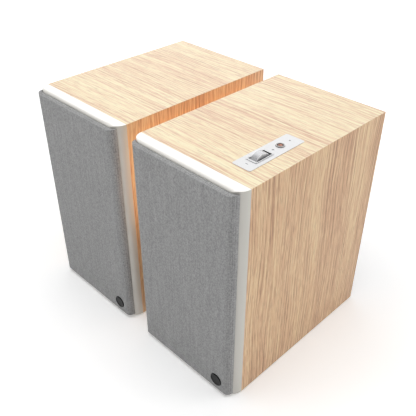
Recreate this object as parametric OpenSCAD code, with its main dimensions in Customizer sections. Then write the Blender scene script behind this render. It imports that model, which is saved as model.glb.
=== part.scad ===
// A pair of desktop speakers: an active one on the right, with its controls on top and its
// amplifier at the back, and a passive one on the left. Millimetres, +Z up, front towards -Y.
// Each speaker is drawn with its left side at x = 0, the back of its front baffle at y = 0
// and its underside at z = 0, and is then moved to its place beside the other.

/* [Cabinet] */
// Width of one cabinet
cab_w = 132; // [130:1:150]
// Height of one cabinet
cab_h = 240; // [238:1:270]
// Depth of the wooden sleeve behind the baffle
cab_d = 192; // [192:1:220]
// Thickness of the wooden walls and of the rear panel
wall = 9; // [8:0.5:10]
// Clear space between the two cabinets
speaker_gap = 21; // [10:1:60]
// Height of the rubber feet
foot_h = 2; // [1.5:0.5:4]
// Radius of the rubber feet
foot_r = 7; // [5:0.5:9]
// Distance of a foot's centre from the cabinet's sides
foot_inset = 18; // [14:1:24]

/* [Front] */
// Thickness of the baffle in front of the sleeve
baffle_t = 12; // [11:0.5:14]
// Radius of the baffle's upright edges
baffle_edge_r = 12; // [10:0.5:12]
// Radius of the baffle's top and bottom front edges
baffle_lip_r = 3; // [1:0.5:4]
// Depth of the baffle's spigot inside the sleeve
spigot_d = 6; // [4:1:8]

/* [Grille] */
// Distance of the grille from the cabinet's sides
grille_side = 3.2; // [2.8:0.1:3.6]
// Distance of the grille from the cabinet's top and bottom
grille_end = 2.5; // [2:0.1:4]
// How far the grille stands in front of the baffle
grille_proud = 5.2; // [5:0.1:7]
// Radius of the grille's upright edges
grille_edge_r = 7.75; // [7:0.25:8]
// Radius of the grille's top and bottom edges
grille_lip_r = 2; // [1:0.5:3]
// Thickness of the cloth
cloth_t = 0.6; // [0.5:0.1:1]
// Radius of the badge
badge_r = 7; // [5:0.5:8]
// Distance of the badge's centre from the cabinet's right side
badge_side = 18.6; // [18:0.2:22]
// Height of the badge's centre above the cabinet's underside
badge_z = 16.5; // [14:0.5:20]
// How far the badge stands in front of the cloth
badge_proud = 1; // [0.8:0.1:1.5]

/* [Woofer] */
// Height of the woofer's centre
woofer_z = 80; // [76:1:84]
// Radius of the woofer's flange
flange_r = 52; // [51:0.5:54]
// Outer radius of the paper cone
cone_r = 38.4; // [37.5:0.1:38.6]
// Outer radius of the voice coil
coil_r = 13.4; // [13:0.1:13.6]
// Outer radius of the ferrite ring
magnet_r = 40; // [36:1:45]

/* [Tweeter] */
// Height of the tweeter's centre
tweeter_z = 180; // [176:1:184]
// Radius of the tweeter's faceplate
faceplate_r = 36; // [34:0.5:37]
// Radius of the silk dome
dome_r = 10; // [9.9:0.1:10.1]

/* [Controls] */
// Width of the control plate
plate_w = 20.3; // [20:0.1:22]
// Length of the control plate
plate_l = 72.1; // [72:0.1:76]
// Place of the control plate's centre across the top
plate_x = 104.15; // [104:0.05:104.3]
// Place of the control plate's centre behind the baffle
plate_y = 53.75; // [53.5:0.05:54]
// Radius of the volume wheel
wheel_r = 10.6; // [10:0.1:10.8]
// Width of the volume wheel
wheel_w = 7.2; // [6:0.1:7.4]
// How far the volume wheel stands above the wooden top
wheel_proud = 4.4; // [4:0.1:4.6]
// Travel of the power button
button_travel = 0.8; // [0.5:0.1:0.8]

/* [Back] */
// Inner radius of the bass port
port_r = 15; // [12:0.5:16]
// Height of the bass port's centre
port_z = 195; // [192:1:198]
// Length of the bass port inside the rear panel
port_l = 65; // [40:1:90]
// Height of the amplifier's speaker outlet
outlet_z = 89; // [87:1:91]
// Height of the passive speaker's terminals
terminal_z = 80; // [78:1:84]
// Height of the signal inputs
input_z = 125; // [122:1:127]
// Height of the mains inlet and switch
mains_z = 45; // [44:1:46]

/* [Hidden] */
$fn = 96;

// Cuts run past a face by this much
past = 1;

// Front to back: the planes that the sub-parts meet at
baffle_y = -baffle_t;
grille_y = baffle_y - grille_proud;
badge_y = grille_y - badge_proud;
panel_y = cab_d - wall;
plate_t = 2;
plate_back = cab_d + plate_t;
jack_l = 8;
shift_y = -(badge_y + plate_back + jack_l) / 2;
mid_x = cab_w / 2;

// Grille
grille_gap = 0.4;
cloth_back = -9.2;
frame_back = -10;
peg_r = 3;
peg_l = 9;
peg_gap = 0.06;
peg_end_gap = 0.5;
pegs = [for (x = [16, cab_w - 16], z = [14, cab_h - 14]) [x, z]];
woofer_window_r = 48;
tweeter_window_r = 31;

// Port, with a collar in the rear panel and a flange outside it
port_t = 2;
port_collar_r = port_r + 7;
port_flange_r = port_r + 11;
port_flange_t = 1.6;
port_flare_r = 6.5;
port_flare_l = 14;

// Woofer, measured along its axis from the back of the baffle
flange_front = -10;
flange_back = -7;
flange_gap = 0.3;
basket_r = 34;
basket_hole_r = 45;
basket_hole_gap = 0.2;
basket_back = 38;
basket_floor_t = 2.5;
bowl_r = 42;
bowl_front = -4;
bowl_back = 24;
basket_windows = 6;
basket_window_w = 18;
basket_window_y = [2, 19];
neck_y = 19;
cone_t = 1.6;
cone_rim_t = 0.8;
roll_r = 3.4;
roll_t = 0.8;
roll_x = cone_r + roll_r;
lip_r = 46.5;
coil_t = 1;
coil_gap = 0.4;
coil_clear = 1.6;
coil_front = 18;
coil_back = 46;
cap_r = 17;
cap_h = 8;
cap_t = 0.9;
spider_y = 25;
spider_r = 31.5;
spider_t = 0.6;
spider_wave_h = 1.2;
plate_front = basket_back;
magnet_front = 43;
magnet_back = 58;
yoke_back = 63;
ring_hole_r = 16;
plate_inset = 2;
pole_r = coil_r - coil_t - coil_gap;
screw_pitch_r = 49.3;
woofer_screw_end = -1;

// Tweeter, measured the same way
face_front = -10.6;
face_back = -7.6;
face_gap = 0.2;
tweeter_hole_r = 27;
throat_r = 13.5;
throat_front = -8.8;
throat_flare_r = 24;
dome_rim_front = -8.4;
dome_rim_r = 13;
dome_h = 4;
dome_t = 0.4;
dome_coil_back = -2;
tweeter_motor_r = 20;
tweeter_motor_front = -4.6;
tweeter_motor_back = 17;
tweeter_ring_r = 15.5;
tweeter_gap_r = [9.1, 10.6];
tweeter_gap_back = 1;
tweeter_screw_r = 31.5;
tweeter_screw_end = -1.6;

// Screws
screw_r = 1.3;
screw_gap = 0.2;
screw_l = 9;
head_r = 2.2;
head_h = 1.1;
key_r = 1;

// Controls, measured up from the cabinet's underside
pocket_d = 2;
pocket_ledge = 1.6;
plate_corner_r = 2;
plate_top = cab_h + 0.4;
plate_under = cab_h - pocket_d;
wheel_x = 103.8;
wheel_y = 41.8;
wheel_z = cab_h + wheel_proud - wheel_r;
axle_r = 1.5;
axle_gap = 0.05;
slot_w = 9.2;
slot_l = 19.6;
bezel_w = 12.4;
bezel_l = 23.4;
bezel_h = 0.6;
bezel_corner_r = 1.8;
slot_corner_r = 0.8;
button_x = 103.9;
button_y = 68.4;
button_r = 2.9;
button_gap = 0.2;
button_flange = 1.1;
button_flange_t = 1.8;
stem_r = 1.2;
collar_r = 4.3;
collar_h = 0.7;
led_x = 104;
led_y = 81.3;
led_r = 0.8;
lamp_h = 3;
lamp_flange = 0.7;
board_top = 221;
board_t = 1.6;
board_half = [13, 35];
switch_h = 2.2;
switch_half = 3;
socket_h = 6;
post_r = 2;
post_ends = 4.5;

// Amplifier and terminals
plate_edge_r = 3;
amp_x = [17, cab_w - 17];
amp_z = [20, 150];
amp_hole_x = [25, cab_w - 25];
amp_hole_z = [28, 142];
amp_screw_inset = 4;
amp_screws = [for (x = [amp_x[0] + amp_screw_inset, amp_x[1] - amp_screw_inset],
    z = [amp_z[0] + amp_screw_inset, (amp_z[0] + amp_z[1]) / 2, amp_z[1] - amp_screw_inset]) [x, z]];
board_back = 172;
flange_out = plate_back + 1.6;
flange_corner_r = 2;
mains_half_h = 9;
mains_end = 12;
mains_rim = [3, 2];
inlet_x = 53;
inlet_pin_gap = 4.3;
inlet_lobe_r = 4.8;
inlet_floor = 183;
inlet_pin_r = 1.2;
rocker_x = 79;
rocker_y = 192;
rocker_w = 15.4;
rocker_tilt = 8;
rocker_hole = [8, 7.4];
rocker_pin_r = 1;
rocker_pin_l = 9.6;
clip_spread = 9.5;
clip_w = 8.4;
clip_y = 191.5;
clip_drop = 1.5;
clip_pin_r = 0.8;
clip_pin_l = 5.4;
clip_slot_w = 9;
clip_slot_z = [-4, 10];
clip_slot_floor = 184;
housing_half = [20, 11];
wire_hole_r = 1.5;
wire_hole_drop = 8;
wire_hole_l = 13;
rca_x = [46, 62];
rca_r = 4.15;
rca_collar_r = 5;
rca_collar_h = 1;
rca_gap_r = [2.6, 3.4];
rca_pin_hole = [1.6, 4];
aux_x = 84;
aux_r = 1.8;
aux_collar = [4, 2];
aux_l = 14;
terminal_half = [30, 28];
terminal_opening = [24, 16];
terminal_screws = [for (x = [-26, 26], z = [-24, 24]) [mid_x + x, terminal_z + z]];

// Internal wires, from the board at the back to each driver
wire_r = 1;
wire_sides = 8;
woofer_wire = [[84, 170.4, 72], [84, 160, 72], [92, 142, 66], [104, 110, 58], [112, 80, 50],
    [110, 52, 48], [102, 38, 51], [94, 31, 57]];
tweeter_wire = [[84, 170.4, 92], [84, 160, 92], [92, 135, 104], [100, 100, 124],
    [102, 65, 142], [98, 40, 158], [90, 26, 168], [82, 19, 174]];

// Places

module at_active() {
    translate([speaker_gap / 2, shift_y, foot_h]) children();
}

module at_passive() {
    translate([-speaker_gap / 2 - cab_w, shift_y, foot_h]) children();
}

// Turns a shape that stands on +Z so that it points to the back, about a driver's axis
module on_axis(x, z) {
    translate([x, 0, z]) rotate([-90, 0, 0]) children();
}

// The same, with the shape pointing to the front
module facing_front(x, y, z) {
    translate([x, y, z]) rotate([90, 0, 0]) children();
}

// Extrudes an outline in Y and Z along +X
module along_x(length) {
    rotate([90, 0, 90]) linear_extrude(length) children();
}

// Basic shapes

module block(x, y, z) {
    translate([x[0], y[0], z[0]]) cube([x[1] - x[0], y[1] - y[0], z[1] - z[0]]);
}

module rounded_rect(w, l, r) {
    square([w - 2 * r, l], center = true);
    square([w, l - 2 * r], center = true);
    for (x = [-1, 1], y = [-1, 1]) translate([x * (w / 2 - r), y * (l / 2 - r)]) circle(r = r);
}

// A panel in X and Z with rounded corners, from y0 to y1
module back_panel(x, z, y0, y1, r) {
    facing_front((x[0] + x[1]) / 2, y1, (z[0] + z[1]) / 2)
        linear_extrude(y1 - y0) rounded_rect(x[1] - x[0], z[1] - z[0], r);
}

module tube(r_in, r_out, z0, z1) {
    translate([0, 0, z0]) difference() {
        cylinder(r = r_out, h = z1 - z0);
        translate([0, 0, -past]) cylinder(r = r_in, h = z1 - z0 + 2 * past);
    }
}

module rod(r, z0, z1) {
    translate([0, 0, z0]) cylinder(r = r, h = z1 - z0);
}

// Four copies on a circle of radius r, at the corners of a square
module around(r) {
    for (a = [45:90:315]) rotate(a) translate([r, 0, 0]) children();
}

// Points of an arc about [cx, cy]
function arc(cx, cy, r, a0, a1, steps) =
    [for (i = [0:steps]) let (a = a0 + (a1 - a0) * i / steps) [cx + r * cos(a), cy + r * sin(a)]];

// Radius of the sphere that a dome of height h on a ring of radius r belongs to
function dome_sphere(r, h) = (r * r + h * h) / (2 * h);

// Points of the arc from the dome's rim to its tip, which points to -Z
function dome_arc(r, h, rim_z, steps) =
    let (s = dome_sphere(r, h), a = asin(r / s))
    [for (i = [steps:-1:0]) [s * sin(a * i / steps), rim_z - h + s - s * cos(a * i / steps)]];

function reverse(list) = [for (i = [len(list) - 1:-1:0]) list[i]];

// A screw whose head sits on z = 0 and whose shank runs up +Z
module screw(length) {
    difference() {
        union() {
            rotate_extrude()
                polygon([[0, 0], [head_r, 0], [head_r, -head_h * 0.5],
                    [head_r * 0.7, -head_h], [0, -head_h]]);
            rod(screw_r, 0, length);
        }
        translate([0, 0, -head_h - past]) cylinder(r = key_r, h = past + head_h * 0.7, $fn = 6);
    }
}

// A round wire swept along a list of points, as one closed solid
function unit(v) = v / norm(v);
function heading(path, i) =
    let (last = len(path) - 1)
    unit(path[min(i + 1, last)] - path[max(i - 1, 0)]);
function wire_ring(p, t, r, sides) =
    let (u = unit(cross(t, [0.2, 0.1, 1])), v = cross(t, u))
    [for (k = [0:sides - 1]) p + r * (cos(360 * k / sides) * u + sin(360 * k / sides) * v)];

module wire(path, r, sides) {
    rings = len(path);
    points = [for (i = [0:rings - 1]) each wire_ring(path[i], heading(path, i), r, sides)];
    walls = [for (i = [0:rings - 2], k = [0:sides - 1])
        [i * sides + k, i * sides + (k + 1) % sides,
         (i + 1) * sides + (k + 1) % sides, (i + 1) * sides + k]];
    first = [for (k = [sides - 1:-1:0]) k];
    last = [for (k = [0:sides - 1]) (rings - 1) * sides + k];
    polyhedron(points, concat([first], walls, [last]));
}

// Cabinet

module sleeve() {
    difference() {
        block([0, cab_w], [0, cab_d], [0, cab_h]);
        block([wall, cab_w - wall], [-past, cab_d + past], [wall, cab_h - wall]);
    }
}

module passive_cabinet() {
    color("burlywood") sleeve();
}

module active_cabinet() {
    color("burlywood") difference() {
        sleeve();
        translate([plate_x, plate_y, plate_under])
            linear_extrude(pocket_d + past) rounded_rect(plate_w, plate_l, plate_corner_r);
        translate([plate_x, plate_y, cab_h - wall - past])
            linear_extrude(wall + past)
                square([plate_w - 2 * pocket_ledge, plate_l - 2 * pocket_ledge], center = true);
    }
}

module feet() {
    color("dimgray")
        for (x = [foot_inset, cab_w - foot_inset], y = [foot_inset, cab_d - foot_inset])
            translate([x, y, -foot_h]) rod(foot_r, 0, foot_h);
}

// Outline of the baffle from above: upright edges round, and square where it meets the sleeve
module baffle_plan() {
    translate([baffle_edge_r, baffle_y]) square([cab_w - 2 * baffle_edge_r, baffle_t]);
    intersection() {
        for (x = [baffle_edge_r, cab_w - baffle_edge_r]) translate([x, 0]) circle(r = baffle_edge_r);
        translate([0, -baffle_edge_r]) square([cab_w, baffle_edge_r]);
    }
}

// Outline of the baffle from the side
module baffle_profile() {
    translate([baffle_y + baffle_lip_r, 0]) square([baffle_t - baffle_lip_r, cab_h]);
    translate([baffle_y, baffle_lip_r]) square([baffle_t, cab_h - 2 * baffle_lip_r]);
    for (z = [baffle_lip_r, cab_h - baffle_lip_r])
        translate([baffle_y + baffle_lip_r, z]) circle(r = baffle_lip_r);
}

module front_baffle() {
    color("ivory") difference() {
        union() {
            intersection() {
                linear_extrude(cab_h) baffle_plan();
                along_x(cab_w) baffle_profile();
            }
            block([wall, cab_w - wall], [0, spigot_d], [wall, cab_h - wall]);
        }
        on_axis(mid_x, woofer_z) {
            rod(flange_r + flange_gap, baffle_y - past, flange_back);
            rod(basket_hole_r, flange_back - past, spigot_d + past);
            around(screw_pitch_r) rod(screw_r, flange_back - past, woofer_screw_end);
        }
        on_axis(mid_x, tweeter_z) {
            rod(faceplate_r + face_gap, baffle_y - past, face_back);
            rod(tweeter_hole_r, face_back - past, spigot_d + past);
            around(tweeter_screw_r) rod(screw_r, face_back - past, tweeter_screw_end);
        }
        for (p = pegs) on_axis(p[0], p[1])
            rod(peg_r + peg_gap, baffle_y - past, baffle_y + peg_l + peg_end_gap);
    }
}

// The rear panel before its openings
module panel_blank() {
    block([wall, cab_w - wall], [panel_y, cab_d], [wall, cab_h - wall]);
}

module port_opening() {
    on_axis(mid_x, port_z) rod(port_collar_r, panel_y - past, cab_d + past);
}

module active_rear_panel() {
    color("dimgray") difference() {
        panel_blank();
        port_opening();
        block(amp_hole_x, [panel_y - past, cab_d + past], amp_hole_z);
        for (s = amp_screws) on_axis(s[0], s[1]) rod(screw_r, plate_back - screw_l, cab_d + past);
    }
}

module passive_rear_panel() {
    color("dimgray") difference() {
        panel_blank();
        port_opening();
        block([mid_x - terminal_opening[0], mid_x + terminal_opening[0]], [panel_y - past, cab_d + past],
            [terminal_z - terminal_opening[1], terminal_z + terminal_opening[1]]);
        for (s = terminal_screws) on_axis(s[0], s[1]) rod(screw_r, plate_back - screw_l, cab_d + past);
    }
}

// The port flares out inside a collar that fits the rear panel
module port_tube() {
    steps = 8;
    outside = cab_d + port_flange_t;
    flare = [for (i = [0:steps]) let (a = 90 * i / steps)
        [port_r + port_flare_r * (1 - cos(a)), outside - (port_flare_l + port_flange_t) * (1 - sin(a))]];
    color("black") on_axis(mid_x, port_z) rotate_extrude() polygon(concat(
        [[port_r + port_t, panel_y - port_l], [port_r, panel_y - port_l]],
        flare,
        [[port_flange_r, outside], [port_flange_r, cab_d], [port_collar_r, cab_d],
         [port_collar_r, panel_y], [port_r + port_t, panel_y]]));
}

// Woofer

module woofer_basket() {
    outer_r = basket_hole_r - basket_hole_gap;
    floor_y = basket_back - basket_floor_t;
    color("darkslategray") on_axis(mid_x, woofer_z) difference() {
        rotate_extrude() polygon([[bowl_r, flange_front], [flange_r, flange_front], [flange_r, flange_back],
            [outer_r, flange_back], [outer_r, bowl_front], [basket_r, bowl_back], [basket_r, basket_back],
            [coil_r + coil_clear, basket_back], [coil_r + coil_clear, floor_y],
            [spider_r, floor_y], [spider_r, bowl_back], [bowl_r, bowl_front]]);
        for (i = [0:basket_windows - 1]) rotate((i + 0.5) * 360 / basket_windows)
            block([magnet_r / 2, flange_r], [-basket_window_w / 2, basket_window_w / 2], basket_window_y);
        around(screw_pitch_r) rod(screw_r + screw_gap, flange_front - past, flange_back + past);
    }
}

// A half roll between the cone's rim and a flat lip on the flange
module woofer_surround() {
    color("black") on_axis(mid_x, woofer_z) rotate_extrude() polygon(concat(
        [[cone_r + roll_t, flange_front + cone_rim_t], [cone_r, flange_front + cone_rim_t]],
        arc(roll_x, flange_front, roll_r, 180, 346, 12),
        [[lip_r, flange_front - roll_t], [lip_r, flange_front]],
        arc(roll_x, flange_front, roll_r - roll_t, 360, 180, 12)));
}

// Front face of the cone at radius r
function cone_y(r) = neck_y - (r - coil_r) * (neck_y - flange_front) / (cone_r - coil_r);

module woofer_cone() {
    color("gray") on_axis(mid_x, woofer_z) rotate_extrude() polygon([[coil_r, neck_y],
        [cone_r, flange_front], [cone_r, flange_front + cone_rim_t],
        [coil_r + cone_rim_t, neck_y + cone_t], [coil_r, neck_y + cone_t]]);
}

module woofer_dust_cap() {
    color("silver") on_axis(mid_x, woofer_z) rotate_extrude() polygon(concat(
        dome_arc(cap_r, cap_h, cone_y(cap_r), 10),
        reverse(dome_arc(cap_r - cap_t, cap_h - cap_t, cone_y(cap_r - cap_t), 10))));
}

// Corrugated cloth disc between the voice coil and the basket
module woofer_spider() {
    waves = 8;
    pitch = (spider_r - coil_r) / waves;
    color("goldenrod") on_axis(mid_x, woofer_z) rotate_extrude() polygon(concat(
        [for (i = [0:waves]) [coil_r + i * pitch, spider_y + (i % 2) * spider_wave_h]],
        [for (i = [waves:-1:0]) [coil_r + i * pitch, spider_y + spider_t + (i % 2) * spider_wave_h]]));
}

module woofer_voice_coil() {
    color("sienna") on_axis(mid_x, woofer_z) tube(coil_r - coil_t, coil_r, coil_front, coil_back);
}

// Front plate, ferrite ring and yoke, bonded into one unit
module woofer_motor() {
    color("gray") on_axis(mid_x, woofer_z) {
        tube(coil_r + coil_gap, magnet_r - plate_inset, plate_front, magnet_front);
        tube(ring_hole_r, magnet_r, magnet_front, magnet_back);
        rod(magnet_r - plate_inset, magnet_back, yoke_back);
        rod(pole_r, plate_front, magnet_back);
    }
}

// Tweeter

module tweeter_faceplate() {
    color("black") on_axis(mid_x, tweeter_z) difference() {
        rotate_extrude() polygon([[throat_r, throat_front], [throat_flare_r, face_front],
            [faceplate_r, face_front], [faceplate_r, face_back], [throat_r, face_back]]);
        around(tweeter_screw_r) rod(screw_r + screw_gap, face_front - past, face_back + past);
    }
}

// Silk dome, its flat rim and its coil former in one piece
module tweeter_dome() {
    rim_back = dome_rim_front + dome_t;
    color("silver") on_axis(mid_x, tweeter_z) rotate_extrude() polygon(concat(
        [[dome_rim_r, dome_rim_front]],
        dome_arc(dome_r, dome_h, dome_rim_front, 10),
        reverse(dome_arc(dome_r - dome_t, dome_h - dome_t, dome_rim_front, 10)),
        [[dome_r - dome_t, dome_coil_back], [dome_r, dome_coil_back], [dome_r, rim_back],
         [dome_rim_r, rim_back]]));
}

// A cup that touches the faceplate, with a ring gap for the dome's former
module tweeter_motor() {
    color("gray") on_axis(mid_x, tweeter_z) {
        tube(tweeter_ring_r, tweeter_motor_r, face_back, tweeter_motor_front);
        difference() {
            rod(tweeter_motor_r, tweeter_motor_front, tweeter_motor_back);
            tube(tweeter_gap_r[0], tweeter_gap_r[1], tweeter_motor_front - past, tweeter_gap_back);
        }
    }
}

// Screws of both drivers, from the front
module driver_screw_set() {
    on_axis(mid_x, woofer_z) around(screw_pitch_r)
        translate([0, 0, flange_front]) screw(woofer_screw_end - flange_front);
    on_axis(mid_x, tweeter_z) around(tweeter_screw_r)
        translate([0, 0, face_front]) screw(tweeter_screw_end - face_front);
}

module active_driver_screws() {
    color("darkgray") driver_screw_set();
}

module passive_screws() {
    color("darkgray") {
        driver_screw_set();
        for (s = terminal_screws) facing_front(s[0], plate_back, s[1]) screw(screw_l);
    }
}

// Grille

// Outline of the grille from above, smaller all round by inset and cut off behind y = back
module grille_plan(inset, back) {
    r = grille_edge_r - inset;
    x0 = grille_side + inset;
    y0 = grille_y + inset;
    intersection() {
        union() {
            translate([x0 + r, y0]) square([cab_w - 2 * (x0 + r), -y0]);
            translate([x0, y0 + r]) square([cab_w - 2 * x0, -y0 - r]);
            for (x = [x0 + r, cab_w - x0 - r]) translate([x, y0 + r]) circle(r = r);
        }
        translate([0, y0 - past]) square([cab_w, back - y0 + past]);
    }
}

// Outline of the grille from the side
module grille_profile(inset) {
    r = grille_lip_r - inset;
    z0 = grille_end + inset;
    y0 = grille_y + inset;
    translate([y0 + r, z0]) square([-y0 - r, cab_h - 2 * z0]);
    translate([y0, z0 + r]) square([-y0, cab_h - 2 * (z0 + r)]);
    for (z = [z0 + r, cab_h - z0 - r]) translate([y0 + r, z]) circle(r = r);
}

// The grille's solid form, which follows the baffle's front and its round edges
module grille_form(inset, back) {
    difference() {
        intersection() {
            linear_extrude(cab_h) grille_plan(inset, back);
            along_x(cab_w) grille_profile(inset);
        }
        for (x = [baffle_edge_r, cab_w - baffle_edge_r])
            translate([x, 0, 0]) rod(baffle_edge_r + grille_gap, -past, cab_h + past);
        block([baffle_edge_r, cab_w - baffle_edge_r], [baffle_y, past], [-past, cab_h + past]);
    }
}

module grille_frame() {
    color("dimgray") {
        difference() {
            grille_form(cloth_t, frame_back);
            on_axis(mid_x, woofer_z) rod(woofer_window_r, grille_y - past, 0);
            on_axis(mid_x, tweeter_z) rod(tweeter_window_r, grille_y - past, 0);
        }
        for (p = pegs) on_axis(p[0], p[1]) rod(peg_r, baffle_y, baffle_y + peg_l);
    }
}

module grille_cloth() {
    color("lightslategray") difference() {
        grille_form(0, cloth_back);
        grille_form(cloth_t, 0);
    }
}

// A disc with a raised rim
module grille_badge() {
    color("black") on_axis(cab_w - badge_side, badge_z) rotate_extrude() polygon([[0, grille_y],
        [badge_r, grille_y], [badge_r, badge_y + 0.4], [badge_r - 0.4, badge_y],
        [badge_r - 1, badge_y], [badge_r - 1.5, badge_y + 0.4], [0, badge_y + 0.45]]);
}

// Controls

module control_plate() {
    color("white") difference() {
        union() {
            translate([plate_x, plate_y, plate_under])
                linear_extrude(plate_top - plate_under) rounded_rect(plate_w, plate_l, plate_corner_r);
            translate([wheel_x, wheel_y + 0.1, plate_top])
                linear_extrude(bezel_h) rounded_rect(bezel_w, bezel_l, bezel_corner_r);
            translate([button_x, button_y, 0]) rotate_extrude() polygon([[0, plate_top],
                [collar_r, plate_top], [collar_r - 0.3, plate_top + collar_h], [0, plate_top + collar_h]]);
            for (y = [-1, 1]) translate([plate_x, plate_y + y * (plate_l / 2 - post_ends), 0])
                rod(post_r, board_top, plate_under);
            block([wheel_x - 7.4, wheel_x - 4.9], [wheel_y - 3, wheel_y + 3], [wheel_z - 4, plate_under]);
        }
        translate([wheel_x + 0.1, wheel_y, plate_under - past])
            linear_extrude(plate_top + bezel_h - plate_under + 2 * past)
                rounded_rect(slot_w, slot_l, slot_corner_r);
        block([wheel_x - 4.5, wheel_x + 4.7], [wheel_y - 11.5, wheel_y + 11.5],
            [plate_under - past, plate_under + 1.4]);
        translate([button_x, button_y, 0])
            rod(button_r + button_gap, plate_under - past, plate_top + collar_h + past);
        translate([led_x, led_y, 0]) rod(led_r, plate_under - past, plate_top + past);
        translate([wheel_x, wheel_y, wheel_z]) rotate([0, 90, 0]) rod(axle_r + axle_gap, -9, -4);
    }
}

module volume_wheel() {
    half = wheel_w / 2;
    color("silver") translate([wheel_x, wheel_y, wheel_z]) rotate([0, 90, 0]) {
        rotate_extrude() polygon([[0, -half], [wheel_r - 0.8, -half], [wheel_r, -half + 0.6],
            [wheel_r, half - 0.6], [wheel_r - 0.8, half], [0, half]]);
        rod(axle_r, -7, 8.2);
    }
}

// A flat encoder beside the wheel, on legs that stand on the board
module volume_encoder() {
    color("dimgray") difference() {
        union() {
            block([wheel_x + 5.5, wheel_x + 8.7], [wheel_y - 5, wheel_y + 5],
                [wheel_z - 4.8, plate_under - 0.2]);
            for (y = [-4, 2]) block([wheel_x + 6.2, wheel_x + 8], [wheel_y + y, wheel_y + y + 2],
                [board_top, wheel_z - 4.8]);
        }
        translate([wheel_x, wheel_y, wheel_z]) rotate([0, 90, 0]) rod(axle_r + axle_gap, 5, 9);
    }
}

// A dished cap with a retaining flange and a stem over the switch
module power_button() {
    top = plate_top + collar_h - 0.2;
    flange_z = plate_under - button_flange_t - 0.2;
    color("sienna") translate([button_x, button_y, 0]) {
        rotate_extrude() polygon([[0, flange_z], [button_r + button_flange, flange_z],
            [button_r + button_flange, flange_z + button_flange_t], [button_r, flange_z + button_flange_t],
            [button_r, top - 0.3], [button_r - 0.3, top], [button_r - 0.8, top], [0, top - 0.6]]);
        rod(stem_r, board_top + switch_h + button_travel + 0.1, flange_z);
    }
}

// Light pipe with the lamp at its foot
module status_led() {
    color("gray") translate([led_x, led_y, 0]) {
        rod(led_r, board_top + lamp_h, plate_top);
        rod(led_r + lamp_flange, board_top, board_top + lamp_h);
    }
}

// Board with the button's switch on top and a cable socket underneath
module control_board() {
    under = board_top - board_t;
    color("seagreen") {
        block([plate_x - board_half[0], plate_x + board_half[0]],
            [plate_y - board_half[1], plate_y + board_half[1]], [under, board_top]);
        block([button_x - switch_half, button_x + switch_half],
            [button_y - switch_half, button_y + switch_half], [board_top, board_top + switch_h]);
        block([plate_x - 6, plate_x + 6], [plate_y + 22, plate_y + 28], [under - socket_h, under]);
    }
}

// Amplifier

// The body of the mains inlet's moulding, between two planes
module mains_body(y) {
    block([inlet_x - mains_end, rocker_x + mains_end], y, [mains_z - mains_half_h, mains_z + mains_half_h]);
}

// The body of a spring clip moulding, between two planes
module clip_body(z, y) {
    block([mid_x - housing_half[0], mid_x + housing_half[0]], y, [z - housing_half[1], z + housing_half[1]]);
}

module amplifier_plate() {
    color("dimgray") difference() {
        back_panel(amp_x, amp_z, cab_d, plate_back, plate_edge_r);
        mains_body([cab_d - past, plate_back + past]);
        clip_body(outlet_z, [cab_d - past, plate_back + past]);
        for (x = rca_x) on_axis(x, input_z) rod(rca_collar_r, cab_d - past, plate_back + past);
        on_axis(aux_x, input_z) rod(aux_collar[0], cab_d - past, plate_back + past);
        for (s = amp_screws) on_axis(s[0], s[1]) rod(screw_r + screw_gap, cab_d - past, plate_back + past);
    }
}

module amplifier_screws() {
    color("darkgray") for (s = amp_screws) facing_front(s[0], plate_back, s[1]) screw(screw_l);
}

// Board with its smoothing capacitors and a finned heat sink
module amplifier_board() {
    front = board_back - board_t;
    color("seagreen") {
        block([24, 108], [front, board_back], [62, 140]);
        for (x = [34, 54]) on_axis(x, 78) rod(8, front - 28, front);
        block([30, 74], [front - 4, front], [98, 128]);
        for (x = [30:5:70]) block([x, x + 2], [front - 24, front - 4], [98, 128]);
    }
}

module transformer() {
    color("darkslategray") {
        block([39, 93], [96, 132], [wall, 54]);
        block([47, 85], [88, 140], [17, 46]);
    }
}

// Two phono sockets and a stereo mini jack on one moulding
module input_jacks() {
    aux_out = plate_back + aux_collar[1];
    color("dimgray") difference() {
        union() {
            block([36, 94], [board_back, cab_d], [input_z - 8, input_z + 8]);
            for (x = rca_x) on_axis(x, input_z) {
                rod(rca_collar_r, cab_d, plate_back + rca_collar_h);
                rod(rca_r, cab_d, plate_back + jack_l);
            }
            on_axis(aux_x, input_z) rod(aux_collar[0], cab_d, aux_out);
        }
        for (x = rca_x) on_axis(x, input_z) {
            tube(rca_gap_r[0], rca_gap_r[1], plate_back + rca_collar_h, plate_back + jack_l + past);
            rod(rca_pin_hole[0], plate_back - rca_pin_hole[1], plate_back + jack_l + past);
        }
        on_axis(aux_x, input_z) rod(aux_r, aux_out - aux_l, aux_out + past);
    }
}

// Figure-of-eight inlet and switch housing in one moulding
module mains_inlet() {
    half_w = mains_end + mains_rim[0];
    half_h = mains_half_h + mains_rim[1];
    color("black") {
        difference() {
            union() {
                back_panel([inlet_x - half_w, rocker_x + half_w], [mains_z - half_h, mains_z + half_h],
                    plate_back, flange_out, flange_corner_r);
                mains_body([board_back, plate_back]);
            }
            for (x = [-1, 1]) on_axis(inlet_x + x * inlet_pin_gap, mains_z)
                rod(inlet_lobe_r, inlet_floor, flange_out + past);
            block([inlet_x - inlet_pin_gap, inlet_x + inlet_pin_gap], [inlet_floor, flange_out + past],
                [mains_z - inlet_lobe_r, mains_z + inlet_lobe_r]);
            block([rocker_x - rocker_hole[0], rocker_x + rocker_hole[0]], [inlet_floor, flange_out + past],
                [mains_z - rocker_hole[1], mains_z + rocker_hole[1]]);
            translate([rocker_x, rocker_y, mains_z]) rotate([0, 90, 0])
                rod(rocker_pin_r + axle_gap, -rocker_pin_l - 0.4, rocker_pin_l + 0.4);
        }
        for (x = [-1, 1]) on_axis(inlet_x + x * inlet_pin_gap, mains_z)
            rod(inlet_pin_r, inlet_floor - past, plate_back - 1);
    }
}

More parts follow.
